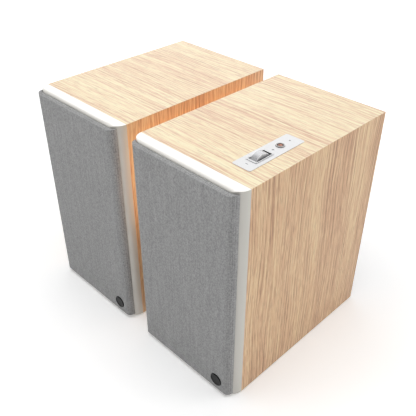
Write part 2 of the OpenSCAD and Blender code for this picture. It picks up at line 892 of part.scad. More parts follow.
// Drawn with its top side out
module power_rocker() {
    color("black") translate([rocker_x, rocker_y, mains_z]) {
        rotate([-rocker_tilt, 0, 0]) translate([-rocker_w / 2, 0, 0]) along_x(rocker_w)
            polygon([[3.2, -6.2], [4.2, 0], [3.2, 6.2], [-1.5, 6.2], [-3, 1.5], [-3, -1.5], [-1.5, -6.2]]);
        rotate([0, 90, 0]) rod(rocker_pin_r, -rocker_pin_l, rocker_pin_l);
    }
}

// Spring clip terminals: a moulding with two lever slots and a wire hole under each

module clip_housing(z) {
    half_w = housing_half[0] + 2;
    half_h = housing_half[1] + 2;
    difference() {
        union() {
            back_panel([mid_x - half_w, mid_x + half_w], [z - half_h, z + half_h],
                plate_back, flange_out, flange_corner_r);
            clip_body(z, [board_back, plate_back]);
        }
        for (x = [-1, 1]) translate([mid_x + x * clip_spread, 0, z]) {
            block([-clip_slot_w / 2, clip_slot_w / 2], [clip_slot_floor, flange_out + past], clip_slot_z);
            translate([0, clip_y, -clip_drop]) rotate([0, 90, 0])
                rod(clip_pin_r + axle_gap, -clip_pin_l - 0.2, clip_pin_l + 0.2);
            on_axis(0, -wire_hole_drop) rod(wire_hole_r, flange_out - wire_hole_l, flange_out + past);
        }
    }
}

module clip_lever(x, z) {
    translate([mid_x + x, clip_y, z - clip_drop]) {
        translate([-clip_w / 2, 0, 0]) along_x(clip_w)
            polygon([[-1.6, -1.6], [1.6, -1.6], [2.4, 1.5], [6.8, 5.6], [6.8, 8.6], [3.2, 8.6], [-1.6, 2.6]]);
        rotate([0, 90, 0]) rod(clip_pin_r, -clip_pin_l, clip_pin_l);
    }
}

module outlet_housing() {
    color("black") clip_housing(outlet_z);
}

module outlet_clip_red() {
    color("red") clip_lever(-clip_spread, outlet_z);
}

module outlet_clip_black() {
    color("black") clip_lever(clip_spread, outlet_z);
}

module terminal_plate() {
    color("black") {
        clip_housing(terminal_z);
        difference() {
            back_panel([mid_x - terminal_half[0], mid_x + terminal_half[0]],
                [terminal_z - terminal_half[1], terminal_z + terminal_half[1]],
                cab_d, plate_back, plate_edge_r);
            clip_body(terminal_z, [cab_d - past, plate_back + past]);
            for (s = terminal_screws) on_axis(s[0], s[1])
                rod(screw_r + screw_gap, cab_d - past, plate_back + past);
        }
    }
}

module terminal_clip_red() {
    color("red") clip_lever(-clip_spread, terminal_z);
}

module terminal_clip_black() {
    color("black") clip_lever(clip_spread, terminal_z);
}

// Board with a film capacitor and an air-cored coil
module crossover_board() {
    front = board_back - board_t;
    color("seagreen") {
        block([40, 92], [front, board_back], [58, 102]);
        block([44, 70], [front - 12, front], [88, 98]);
        on_axis(56, 72) tube(5, 11, front - 14, front);
    }
}

module wiring() {
    color("firebrick") {
        wire(woofer_wire, wire_r, wire_sides);
        wire(tweeter_wire, wire_r, wire_sides);
    }
}

at_active() active_cabinet();
at_active() front_baffle();  // active_front_baffle
at_active() active_rear_panel();
at_active() feet();  // active_feet
at_active() woofer_basket();  // active_woofer_basket
at_active() woofer_surround();  // active_woofer_surround
at_active() woofer_cone();  // active_woofer_cone
at_active() woofer_dust_cap();  // active_woofer_dust_cap
at_active() woofer_spider();  // active_woofer_spider
at_active() woofer_voice_coil();  // active_woofer_voice_coil
at_active() woofer_motor();  // active_woofer_motor
at_active() tweeter_faceplate();  // active_tweeter_faceplate
at_active() tweeter_dome();  // active_tweeter_dome
at_active() tweeter_motor();  // active_tweeter_motor
at_active() active_driver_screws();
at_active() port_tube();  // active_port_tube
at_active() grille_frame();  // active_grille_frame
at_active() grille_cloth();  // active_grille_cloth
at_active() grille_badge();  // active_grille_badge
at_active() wiring();  // active_wiring
at_passive() passive_cabinet();
at_passive() front_baffle();  // passive_front_baffle
at_passive() passive_rear_panel();
at_passive() feet();  // passive_feet
at_passive() woofer_basket();  // passive_woofer_basket
at_passive() woofer_surround();  // passive_woofer_surround
at_passive() woofer_cone();  // passive_woofer_cone
at_passive() woofer_dust_cap();  // passive_woofer_dust_cap
at_passive() woofer_spider();  // passive_woofer_spider
at_passive() woofer_voice_coil();  // passive_woofer_voice_coil
at_passive() woofer_motor();  // passive_woofer_motor
at_passive() tweeter_faceplate();  // passive_tweeter_faceplate
at_passive() tweeter_dome();  // passive_tweeter_dome
at_passive() tweeter_motor();  // passive_tweeter_motor
at_passive() passive_screws();
at_passive() port_tube();  // passive_port_tube
at_passive() grille_frame();  // passive_grille_frame
at_passive() grille_cloth();  // passive_grille_cloth
at_passive() grille_badge();  // passive_grille_badge
at_passive() wiring();  // passive_wiring
at_active() control_plate();
at_active() volume_wheel();
at_active() volume_encoder();
at_active() power_button();
at_active() status_led();
at_active() control_board();
at_active() amplifier_plate();
at_active() amplifier_board();
at_active() transformer();
at_active() input_jacks();
at_active() mains_inlet();
at_active() power_rocker();
at_active() outlet_housing();
at_active() outlet_clip_red();
at_active() outlet_clip_black();
at_active() amplifier_screws();
at_passive() terminal_plate();
at_passive() terminal_clip_red();
at_passive() terminal_clip_black();
at_passive() crossover_board();
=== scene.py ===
"""Looks of a pair of desktop speakers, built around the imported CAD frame. Metres, +Z up, front at -Y."""

import math

import bmesh
import bpy
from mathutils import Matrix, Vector


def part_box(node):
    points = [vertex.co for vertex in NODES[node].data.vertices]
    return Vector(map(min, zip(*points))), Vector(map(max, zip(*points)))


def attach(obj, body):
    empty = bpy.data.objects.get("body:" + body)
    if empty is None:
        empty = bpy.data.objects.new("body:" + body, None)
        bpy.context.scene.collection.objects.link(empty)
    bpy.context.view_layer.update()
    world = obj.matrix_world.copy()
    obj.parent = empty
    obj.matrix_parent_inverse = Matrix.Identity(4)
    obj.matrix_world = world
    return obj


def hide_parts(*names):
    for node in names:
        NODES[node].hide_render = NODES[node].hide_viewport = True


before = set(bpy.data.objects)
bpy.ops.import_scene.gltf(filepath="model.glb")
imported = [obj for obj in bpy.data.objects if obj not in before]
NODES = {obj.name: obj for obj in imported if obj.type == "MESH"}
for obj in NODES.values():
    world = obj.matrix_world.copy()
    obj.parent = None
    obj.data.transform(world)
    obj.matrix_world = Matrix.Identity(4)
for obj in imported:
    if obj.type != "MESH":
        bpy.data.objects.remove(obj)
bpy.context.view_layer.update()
MM = 0.001
SIDES = ("active", "passive")
X, Y, Z = 0, 1, 2


def srgb(red, green, blue):
    """A colour given as 0 to 255, as the linear colour that a shader takes."""
    def linear(value):
        value /= 255
        return value / 12.92 if value <= 0.04045 else ((value + 0.055) / 1.055) ** 2.4
    return (linear(red), linear(green), linear(blue), 1.0)


def grey(value):
    return srgb(value, value, value)


def shade(colour, factor):
    """The same colour, lighter or darker."""
    return tuple(min(1.0, c * factor) for c in colour[:3]) + (1.0,)


def centre_of(node):
    low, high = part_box(node)
    return tuple((low + high) / 2)


WHITE = (1.0, 1.0, 1.0, 1.0)

# ---------------------------------------------------------------- camera

LENS_MM = 50.145
SENSOR_MM = 36.0
EYE = Vector((0.3816, -0.3763, 0.4827))
LOOK = Vector((-0.5819, 0.5781, -0.5720))
NEAREST_SEEN = 0.01
FARTHEST_SEEN = 50


def add_camera():
    data = bpy.data.cameras.new("camera")
    data.lens = LENS_MM
    data.sensor_width = SENSOR_MM
    data.clip_start = NEAREST_SEEN
    data.clip_end = FARTHEST_SEEN
    camera = bpy.data.objects.new("camera", data)
    camera.location = EYE
    camera.rotation_euler = LOOK.to_track_quat("-Z", "Y").to_euler()
    bpy.context.scene.collection.objects.link(camera)
    bpy.context.scene.camera = camera


# ---------------------------------------------------------------- light and floor

# name, place, side of the square in metres, watts, whether it shows only in gloss
SOFTBOXES = (
    ("top_softbox", (0.0, -0.1, 1.8), 1.6, 29, False),
    ("right_softbox", (1.3, 1.3, 0.7), 1.2, 7, False),
    ("front_left_softbox", (-1.3, -1.5, 1.2), 1.2, 6, False),
    ("sheen_softbox", (-1.3, 1.3, 1.4), 2.2, 36, True))
SOFTBOX_AIM = Vector((0, 0, 0.12))

# light thrown back and forth between the cabinets, which warms the upper half of the gap
GAP_GLOW_COLOUR = (1.0, 0.72, 0.48)
GAP_GLOW_WATTS = 0.052
GAP_GLOW_SHARE = 0.5
GAP_GLOW_OFF_WOOD = 0.2 * MM

# strength of the white surroundings as light, and as the camera sees them
AMBIENT = 0.1
BACKDROP = 1.0

FLOOR_HALF = 5.0
FLOOR_CELLS = 8
# the floor's own light, which grows with distance from the middle: (distance, strength)
FLOOR_NEAR = (0.3, 0.24)
FLOOR_FAR = (2.5, 0.95)
FLOOR_SPECKLE = 30.0


def add_area_light(name, size, watts, place):
    data = bpy.data.lights.new(name, "AREA")
    data.shape = "RECTANGLE"
    data.size, data.size_y = size
    data.energy = watts
    light = bpy.data.objects.new(name, data)
    light.location = place
    bpy.context.scene.collection.objects.link(light)
    return light


def add_softbox(name, place, side, watts, gloss_only):
    light = add_area_light(name, (side, side), watts, place)
    light.rotation_euler = (SOFTBOX_AIM - Vector(place)).to_track_quat("-Z", "Y").to_euler()
    light.visible_diffuse = not gloss_only


def add_gap_glow():
    low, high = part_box("active_cabinet")
    height = (high.z - low.z) * GAP_GLOW_SHARE
    place = (low.x - GAP_GLOW_OFF_WOOD, (low.y + high.y) / 2, high.z - height / 2)
    light = add_area_light("gap_glow", (high.y - low.y, height), GAP_GLOW_WATTS, place)
    light.data.color = GAP_GLOW_COLOUR
    light.rotation_euler = (math.pi / 2, 0, math.pi / 2)
    light.visible_camera = False


def surround_with_white():
    world = bpy.data.worlds.new("studio")
    bpy.context.scene.world = world
    world.use_nodes = True
    tree = world.node_tree
    background = tree.nodes["Background"]
    background.inputs["Color"].default_value = WHITE
    path = tree.nodes.new("ShaderNodeLightPath")
    strength = tree.nodes.new("ShaderNodeMapRange")
    strength.inputs["To Min"].default_value = AMBIENT
    strength.inputs["To Max"].default_value = BACKDROP
    tree.links.new(path.outputs["Is Camera Ray"], strength.inputs["Value"])
    tree.links.new(strength.outputs["Result"], background.inputs["Strength"])


def light_studio():
    surround_with_white()
    for softbox in SOFTBOXES:
        add_softbox(*softbox)
    add_gap_glow()
    bpy.context.scene.view_settings.view_transform = "Standard"


def add_floor():
    mesh = bpy.data.meshes.new("floor")
    made = bmesh.new()
    bmesh.ops.create_grid(made, x_segments=FLOOR_CELLS, y_segments=FLOOR_CELLS, size=FLOOR_HALF)
    made.to_mesh(mesh)
    made.free()
    floor = bpy.data.objects.new("floor", mesh)
    bpy.context.scene.collection.objects.link(floor)
    mesh.materials.append(pale_floor())


# ---------------------------------------------------------------- what the materials are made with

# the Mix node's sockets for its factor and its two colours, and its output for the mixed colour
MIX_FACTOR, MIX_FIRST, MIX_SECOND = 0, 6, 7
MIX_RESULT = 2


class Shader:
    """One material and the few node calls that the looks below are made of."""

    def __init__(self, name, **sockets):
        self.material = bpy.data.materials.new(name)
        self.material.use_nodes = True
        self.tree = self.material.node_tree
        self.surface = self.tree.nodes["Principled BSDF"]
        self.coordinates = self.tree.nodes.new("ShaderNodeTexCoord")
        self.place = self.coordinates.outputs["Object"]
        for socket, value in sockets.items():
            self.set(socket.replace("_", " "), value)

    def set(self, socket, value):
        """Feeds one of the surface's own sockets."""
        self.feed(self.surface.inputs[socket], value)

    def feed(self, socket, value):
        """Links another node's output into a socket, or gives the socket a constant."""
        if isinstance(value, bpy.types.NodeSocket):
            self.tree.links.new(value, socket)
        else:
            socket.default_value = value

    def node(self, kind, inputs, **settings):
        """Adds a node, feeds its inputs and returns its first output."""
        made = self.tree.nodes.new(kind)
        for key, value in settings.items():
            setattr(made, key, value)
        for key, value in inputs.items():
            self.feed(made.inputs[key], value)
        return made.outputs[0]

    def math(self, operation, first, second=0.0):
        return self.node("ShaderNodeMath", {0: first, 1: second}, operation=operation)

    def add(self, *values):
        total = values[0]
        for value in values[1:]:
            total = self.math("ADD", total, value)
        return total

    def times(self, first, second):
        return self.math("MULTIPLY", first, second)

    def less(self, first, second):
        """1 where the first is less than the second, or else 0."""
        return self.math("LESS_THAN", first, second)

    def more(self, first, second):
        """1 where the first is more than the second, or else 0."""
        return self.math("GREATER_THAN", first, second)

    def inverse(self, share):
        return self.math("SUBTRACT", 1.0, share)

    def absolute(self, value):
        return self.math("ABSOLUTE", value)

    def length(self, first, second):
        return self.math("SQRT", self.add(self.times(first, first), self.times(second, second)))

    def split(self, vector):
        made = self.tree.nodes.new("ShaderNodeSeparateXYZ")
        self.feed(made.inputs[0], vector)
        return made.outputs

    def join(self, x, y, z):
        return self.node("ShaderNodeCombineXYZ", {0: x, 1: y, 2: z})

    def scaled(self, scale, vector=None, shift=(0.0, 0.0, 0.0)):
        """The vector, or else the place on the piece, scaled and then shifted."""
        return self.node("ShaderNodeMapping",
                         {"Vector": vector or self.place, "Scale": scale, "Location": shift})

    def from_point(self, point):
        """X, Y and Z measured from a point."""
        return self.split(self.scaled((1, 1, 1), shift=tuple(-c for c in point)))

    def normal(self, axis):
        """How far the surface faces along an axis, from -1 to 1."""
        return self.split(self.coordinates.outputs["Normal"])[axis]

    def noise(self, vector, scale=1.0, detail=2.0, roughness=0.5):
        """Soft random values about 0.5, with scale features to each unit of the vector."""
        return self.node("ShaderNodeTexNoise", {
            "Vector": vector, "Scale": scale, "Detail": detail, "Roughness": roughness})

    def sine(self, value, pitch):
        """A wave from 0 to 1 with its crests pitch apart."""
        wave = self.math("SINE", self.times(value, math.tau / pitch))
        return self.add(self.times(wave, 0.5), 0.5)

    def ramp(self, factor, stops):
        """The colour at a factor from 0 to 1, between stops of (position, colour)."""
        made = self.tree.nodes.new("ShaderNodeValToRGB")
        self.feed(made.inputs[0], factor)
        elements = made.color_ramp.elements
        while len(elements) < len(stops):
            elements.new(0.5)
        for element, (position, colour) in zip(elements, stops):
            element.position = position
            element.color = colour
        return made.outputs[0]

    def span(self, value, low, high, to_low=0.0, to_high=1.0):
        """The value's range from low to high, stretched to another range and held at its ends."""
        return self.node("ShaderNodeMapRange", {
            "Value": value, "From Min": low, "From Max": high, "To Min": to_low, "To Max": to_high})

    def mix(self, factor, first, second):
        made = self.tree.nodes.new("ShaderNodeMix")
        made.data_type = "RGBA"
        for index, value in ((MIX_FACTOR, factor), (MIX_FIRST, first), (MIX_SECOND, second)):
            self.feed(made.inputs[index], value)
        return made.outputs[MIX_RESULT]

    def bump(self, height, distance, strength):
        """Fine relief: distance is how far a height of 1 stands out."""
        self.set("Normal", self.node("ShaderNodeBump", {
            "Height": height, "Distance": distance, "Strength": strength}))


def pale_floor():
    m = Shader("pale_floor", Roughness=0.9, Emission_Color=WHITE)
    x, y, _ = m.split(m.place)
    near, near_strength = FLOOR_NEAR
    far, far_strength = FLOOR_FAR
    m.set("Emission Strength", m.span(m.length(x, y), near, far, near_strength, far_strength))
    speckle = m.noise(m.place, FLOOR_SPECKLE, detail=3.0)
    m.set("Base Color", m.mix(speckle, grey(247), grey(251)))
    return m.material


# ---------------------------------------------------------------- oak

# the grain's patterns: features per metre along the grain, across it and into the wood
DRIFT_SCALE = (6.0, 20.0, 10.0)
BAND_SCALE = (1.8, 30.0, 18.0)
WARP_SCALE = (2.4, 22.0, 12.0)
RING_DEPTH_SCALE = (7.0, 120.0, 60.0)
LINE_SCALE = (11.0, 760.0, 90.0)
FIBRE_SCALE = (60.0, 1300.0, 300.0)
PORE_SCALE = (90.0, 950.0, 300.0)
# moves the warp's noise away from the bands', so that the two don't coincide
WARP_SHIFT = (3.0, 5.0, 7.0)
GRAIN_DRIFT = 14 * MM
RING_PITCH = 4.2 * MM
RING_WARP = 6.0
# how much each pattern adds to the figure, and the figure's darkest and palest values
BAND_SHARE = 0.3
LINE_SHARE = 0.62
FIBRE_SHARE = 0.55
RING_SHARE = -0.24
FIGURE_DARK = 0.42
FIGURE_PALE = 0.83
PORE_SHARE = 0.34
OAK_RELIEF = 0.025 * MM

# the oak's tones on faces that look sideways, then paler, less saturated tones for faces that look up: the
# top tones are painted light, standing in for the brighter light and sheen on the tops
OAK_SIDE = (
    (0.0, srgb(169, 122, 92)), (0.4, srgb(203, 157, 119)),
    (0.68, srgb(225, 183, 141)), (1.0, srgb(238, 209, 162)))
OAK_TOP_PAINTED_LIGHT = (
    (0.0, srgb(187, 145, 118)), (0.4, srgb(212, 176, 144)),
    (0.68, srgb(223, 202, 163)), (1.0, srgb(227, 216, 178)))
OAK_PORE = srgb(160, 117, 90)
# each cabinet's veneer is cut from another stretch of the same tree, in metres along it
OAK_START = {"active": 0.37, "passive": 0.98}


def grain_place(m, flat, start):
    """Where a point is in the tree: along the grain, across it and into the wood."""
    x, y, z = m.split(m.place)
    upright = m.inverse(flat)
    along = m.add(m.times(flat, x), m.times(upright, z), start)
    depth = m.add(m.times(flat, z), m.times(upright, x))
    drift = m.noise(m.scaled(DRIFT_SCALE, m.join(along, y, depth)), detail=1.0)
    across = m.add(y, m.times(drift, GRAIN_DRIFT))
    return m.join(along, across, depth), across


def growth_rings(m, grain, across):
    """Dark early wood fading into pale late wood, ring by ring, deeper in some places."""
    warp = m.noise(m.scaled(WARP_SCALE, grain, WARP_SHIFT), detail=1.0)
    ring = m.math("FRACT", m.add(m.times(across, 1 / RING_PITCH), m.times(warp, RING_WARP)))
    early = m.math("POWER", m.inverse(ring), 1.6)
    depth = m.span(m.noise(m.scaled(RING_DEPTH_SCALE, grain)), 0.35, 0.65, 0.15, 1.0)
    return m.times(early, depth)


def oak(side):
    """Pale oak veneer: grain runs across the top and up the sides."""
    m = Shader(side + "_oak", Coat_Roughness=0.4, Coat_Weight=0.12)
    flat = m.more(m.absolute(m.normal(Z)), 0.5)
    grain, across = grain_place(m, flat, OAK_START[side])
    bands = m.noise(m.scaled(BAND_SCALE, grain))
    rings = growth_rings(m, grain, across)
    lines = m.noise(m.scaled(LINE_SCALE, grain), roughness=0.6)
    fibres = m.noise(m.scaled(FIBRE_SCALE, grain))
    pores = m.span(m.noise(m.scaled(PORE_SCALE, grain), detail=1.0), 0.58, 0.7)
    figure = m.add(m.times(bands, BAND_SHARE), m.times(lines, LINE_SHARE),
                   m.times(fibres, FIBRE_SHARE), m.times(rings, RING_SHARE))
    tone = m.span(figure, FIGURE_DARK, FIGURE_PALE)
    # painted light: faces that look up take the paler top tones in place of the plain oak tones
    colour = m.mix(flat, m.ramp(tone, OAK_SIDE), m.ramp(tone, OAK_TOP_PAINTED_LIGHT))
    m.set("Base Color", m.mix(m.times(pores, PORE_SHARE), colour, OAK_PORE))
    m.set("Roughness", m.span(lines, 0.3, 0.7, 0.52, 0.42))
    m.bump(m.add(m.times(lines, 0.5), m.times(fibres, 0.3), m.times(pores, -0.6)), OAK_RELIEF, 0.6)
    return m.material


# ---------------------------------------------------------------- plastics, paint and metal

# features per metre: slow clouds, the marks of a lathe, and scratches that run along X
CLOUD_SCALE = 38.0
LATHE_SCALE = 5200.0
SCRATCH_SCALE = (300.0, 4000.0, 4000.0)
COLOUR_SPREAD = 0.12
GLOSS_SPREAD = 0.06


def cloudy_gloss(m, cloudy, fine, roughness):
    """Gloss that varies a little, slowly with the clouds and quickly with the fine grain."""
    both = m.add(m.times(cloudy, 0.5), m.times(fine, 0.5))
    m.set("Roughness", m.span(both, 0.35, 0.65, roughness - GLOSS_SPREAD, roughness + GLOSS_SPREAD))


def moulded(name, colour, roughness, grain, relief, **sockets):
    """Plastic, rubber or paint: fine grain, in features per metre, and slightly uneven colour."""
    m = Shader(name, **sockets)
    cloudy = m.noise(m.place, CLOUD_SCALE, detail=3.0)
    fine = m.noise(m.place, grain)
    dark, pale = shade(colour, 1 - COLOUR_SPREAD), shade(colour, 1 + COLOUR_SPREAD)
    m.set("Base Color", m.mix(m.span(cloudy, 0.3, 0.7), dark, pale))
    cloudy_gloss(m, cloudy, fine, roughness)
    m.bump(fine, relief, 0.7)
    return m.material


def white_lacquer():
    """Warm white lacquer, painted paler on top than down its front: painted light standing in for the
    light falling on the top.
    """
    m = Shader("white_lacquer", Coat_Weight=0.6, Coat_Roughness=0.35)
    cloudy = m.noise(m.place, CLOUD_SCALE, detail=3.0)
    fine = m.noise(m.place, 900.0)
    # painted light: faces that look up are coloured paler than faces that look sideways
    painted_top_light = m.span(m.normal(Z), 0.3, 0.9)
    colour = m.mix(painted_top_light, srgb(212, 209, 201), srgb(236, 234, 228))
    m.set("Base Color", m.mix(m.times(cloudy, COLOUR_SPREAD), colour, srgb(198, 195, 187)))
    cloudy_gloss(m, cloudy, fine, 0.36)
    m.bump(fine, 0.01 * MM, 0.7)
    return m.material


def wheel_aluminium():
    """Turned metal: fine rings round the rim, and flat sides painted much paler and less metallic, as
    painted light that they don't get from the lamps.
    """
    m = Shader("wheel_aluminium")
    colour = srgb(172, 172, 174)
    x, y, z = m.from_point(centre_of("volume_wheel"))
    rings = m.noise(m.join(m.times(m.length(y, z), LATHE_SCALE), m.times(x, LATHE_SCALE), 0.0))
    cloudy = m.noise(m.place, 90.0)
    painted_light_flank = m.more(m.absolute(m.normal(X)), 0.7)
    turned = m.mix(rings, shade(colour, 0.93), shade(colour, 1.05))
    # painted light: the flat sides take a colour about twice as pale as the rim
    m.set("Base Color", m.mix(painted_light_flank, turned, shade(colour, 2.1)))
    m.set("Metallic", m.span(painted_light_flank, 0, 1, 0.45, 0.0))
    m.set("Roughness", m.span(m.add(m.times(rings, 0.6), m.times(cloudy, 0.4)), 0.3, 0.7, 0.28, 0.38))
    m.bump(rings, 0.002 * MM, 0.8)
    return m.material


def screw_steel():
    """Dark plated steel with fine scratches."""
    m = Shader("screw_steel", Metallic=1.0)
    colour = srgb(92, 92, 96)
    cloudy = m.noise(m.place, 120.0, detail=4.0)
    scratches = m.noise(m.scaled(SCRATCH_SCALE))
    m.set("Base Color", m.mix(cloudy, shade(colour, 0.8), shade(colour, 1.15)))
    m.set("Roughness", m.span(m.add(m.times(cloudy, 0.5), m.times(scratches, 0.5)), 0.3, 0.7, 0.25, 0.45))
    m.bump(scratches, 0.02 * MM, 0.6)
    return m.material


# ---------------------------------------------------------------- cloth and paper

YARN_PITCH = 0.95 * MM
HEATHER_SCALE = (980.0, 600.0, 640.0)
RIB_SCALE = (620.0, 60.0, 30.0)
HEATHER_SHARE = 0.62
RIB_SHARE = 0.16
WEAVE_SHARE = 0.22
HEATHER_TONES = ((0.0, grey(131)), (0.5, grey(160)), (1.0, grey(188)))
# a paper cone's fibres: for each radian round its axis, and for each metre out from it
FIBRES_ROUND = 55.0
FIBRES_OUT = 260.0


def grille_fabric():
    """Heathered grey plain weave of upright and level yarns."""
    m = Shader("grille_fabric", Sheen_Weight=0.08, Sheen_Roughness=0.5,
               Sheen_Tint=(0.9, 0.9, 0.9, 1.0), Specular_IOR_Level=0.2)
    x, _, z = m.split(m.place)
    wave_x = m.math("SINE", m.times(x, math.pi / YARN_PITCH))
    wave_z = m.math("SINE", m.times(z, math.pi / YARN_PITCH))
    over = m.more(m.times(wave_x, wave_z), 0.0)
    weave = m.add(m.times(over, m.absolute(wave_x)), m.times(m.inverse(over), m.absolute(wave_z)))
    heather = m.noise(m.scaled(HEATHER_SCALE), detail=3.0, roughness=0.6)
    ribs = m.noise(m.scaled(RIB_SCALE))
    tone = m.add(m.times(heather, HEATHER_SHARE), m.times(ribs, RIB_SHARE), m.times(weave, WEAVE_SHARE))
    m.set("Base Color", m.ramp(m.span(tone, 0.36, 0.7), HEATHER_TONES))
    m.set("Roughness", m.span(heather, 0.3, 0.7, 0.95, 0.85))
    m.bump(m.add(m.times(weave, 0.8), m.times(heather, 0.4)), 0.22 * MM, 0.8)
    return m.material


def pressed_paper(name, colour, centre, coated):
    """Felted paper with fibres that run out from the driver's axis, which is parallel to Y."""
    m = Shader(name, Coat_Weight=coated, Coat_Roughness=0.35)
    x, _, z = m.from_point(centre)
    angle = m.math("ARCTAN2", z, x)
    fibre_place = m.join(m.times(angle, FIBRES_ROUND), m.times(m.length(x, z), FIBRES_OUT), 0.0)
    fibres = m.noise(fibre_place, detail=3.0)
    mottle = m.noise(m.place, 650.0, detail=4.0, roughness=0.6)
    tone = m.add(m.times(fibres, 0.5), m.times(mottle, 0.5))
    m.set("Base Color", m.mix(m.span(tone, 0.35, 0.65), shade(colour, 0.7), shade(colour, 1.4)))
    m.set("Roughness", m.span(mottle, 0.3, 0.7, 0.62, 0.8))
    m.bump(tone, 0.12 * MM, 0.8)
    return m.material


def woven(name, colour, pitch, relief):
    """A fine cloth, such as a silk dome or a spider."""
    m = Shader(name, Sheen_Weight=0.3)
    x, y, z = m.split(m.place)
    weave = m.times(m.sine(x, pitch), m.sine(m.add(z, y), pitch))
    mottle = m.noise(m.place, 500.0, detail=3.0)
    tone = m.add(m.times(weave, 0.6), m.times(mottle, 0.4))
    m.set("Base Color", m.mix(tone, shade(colour, 0.72), shade(colour, 1.25)))
    m.set("Roughness", m.span(mottle, 0.3, 0.7, 0.55, 0.75))
    m.bump(weave, relief, 0.8)
    return m.material


# ---------------------------------------------------------------- electrical parts

WIRE_PITCH = 0.35 * MM
CORE_SHEET_PITCH = 0.7 * MM
TRACK_PITCH = 2.6 * MM
TRACK_WANDER = 2 * MM
PAD_SCALE = 210.0


def copper_wire():
    """Wire wound round the voice coil's former, one turn beside the next."""
    m = Shader("copper_wire", Metallic=1.0, Coat_Weight=0.5, Coat_Roughness=0.2)
    _, y, _ = m.split(m.place)
    turns = m.sine(y, WIRE_PITCH)
    m.set("Base Color", m.mix(turns, srgb(120, 58, 32), srgb(214, 128, 84)))
    m.set("Roughness", m.span(turns, 0, 1, 0.45, 0.28))
    m.bump(turns, 0.1 * MM, 1.0)
    return m.material


def circuit_board():
    """Green solder mask with a faint pattern of tracks and tinned pads."""
    m = Shader("circuit_board", Coat_Weight=0.3, Coat_Roughness=0.2)
    x, _, z = m.split(m.place)
    cells = m.node("ShaderNodeTexVoronoi", {"Vector": m.place, "Scale": PAD_SCALE}, distance="MANHATTAN")
    tracks = m.more(m.sine(m.add(x, z, m.times(cells, TRACK_WANDER)), TRACK_PITCH), 0.72)
    pads = m.less(cells, 0.16)
    mask = m.mix(m.times(tracks, 0.6), srgb(18, 84, 48), srgb(38, 122, 72))
    m.set("Base Color", m.mix(pads, mask, srgb(196, 196, 190)))
    m.set("Roughness", m.span(cells, 0, 1, 0.3, 0.45))
    m.bump(m.add(m.times(tracks, 0.4), m.times(pads, 0.6)), 0.05 * MM, 0.7)
    return m.material


def core_steel():
    """A transformer's core of thin sheets, with its taped winding."""
    m = Shader("core_steel", Metallic=0.7)
    _, y, _ = m.split(m.place)
    sheets = m.sine(y, CORE_SHEET_PITCH)
    stains = m.noise(m.place, 160.0, detail=4.0)
    m.set("Base Color", m.mix(m.times(sheets, stains), srgb(52, 50, 48), srgb(132, 128, 122)))
    m.set("Roughness", m.span(stains, 0.3, 0.7, 0.4, 0.65))
    m.bump(sheets, 0.1 * MM, 0.9)
    return m.material


# ---------------------------------------------------------------- control plate and button

# the plated collar round the button, the rim of the button's dish, and the dish's rings per metre
COLLAR_R = 4.35 * MM
BUTTON_RIM_R = 2.0 * MM
DISH_SCALE = 4200.0
# half sizes, across and along the plate, of the raised bezel round the wheel and of its slot, whose inside
# is painted near-black as painted shade
BEZEL_HALF = (6.3 * MM, 11.9 * MM)
SLOT_SHADE_HALF = (4.75 * MM, 9.85 * MM)


def inside_oblong(m, centre, half):
    """1 within an oblong round a centre, seen from above, or else 0."""
    x, y, _ = m.from_point(centre)
    return m.times(m.less(m.absolute(x), half[X]), m.less(m.absolute(y), half[Y]))


def plate_white():
    """Satin white plate with a greyer bezel, the slot's inside painted black as painted shade, and a dark
    plated collar.
    """
    m = Shader("plate_white")
    cloudy = m.noise(m.place, 60.0, detail=3.0)
    fine = m.noise(m.place, 1400.0)
    x, y, _ = m.from_point(centre_of("power_button"))
    collar = m.less(m.length(x, y), COLLAR_R)
    wheel = centre_of("volume_wheel")
    white = m.mix(cloudy, srgb(209, 209, 210), srgb(215, 215, 216))
    painted = m.mix(m.times(inside_oblong(m, wheel, BEZEL_HALF), 0.3), white, srgb(186, 186, 188))
    # painted shade: the slot's inside is painted near-black so the gap round the wheel reads dark
    painted = m.mix(inside_oblong(m, wheel, SLOT_SHADE_HALF), painted, srgb(22, 22, 23))
    m.set("Base Color", m.mix(collar, painted, srgb(150, 147, 145)))
    m.set("Metallic", m.times(collar, 0.6))
    m.set("Roughness", m.span(fine, 0.3, 0.7, 0.3, 0.4))
    m.bump(fine, 0.006 * MM, 0.6)
    return m.material


def button_copper():
    """Copper-plated dish in a dark plated rim."""
    m = Shader("button_copper", Metallic=0.85)
    x, y, _ = m.from_point(centre_of("power_button"))
    radius = m.length(x, y)
    rings = m.noise(m.join(m.times(radius, DISH_SCALE), 0.0, 0.0))
    rim = m.span(radius, BUTTON_RIM_R, BUTTON_RIM_R * 1.1)
    copper = m.mix(rings, srgb(112, 76, 62), srgb(140, 98, 82))
    m.set("Base Color", m.mix(rim, copper, srgb(58, 54, 54)))
    m.set("Roughness", m.span(rings, 0.3, 0.7, 0.28, 0.4))
    m.bump(rings, 0.003 * MM, 0.6)
    return m.material


# ---------------------------------------------------------------- which node wears what

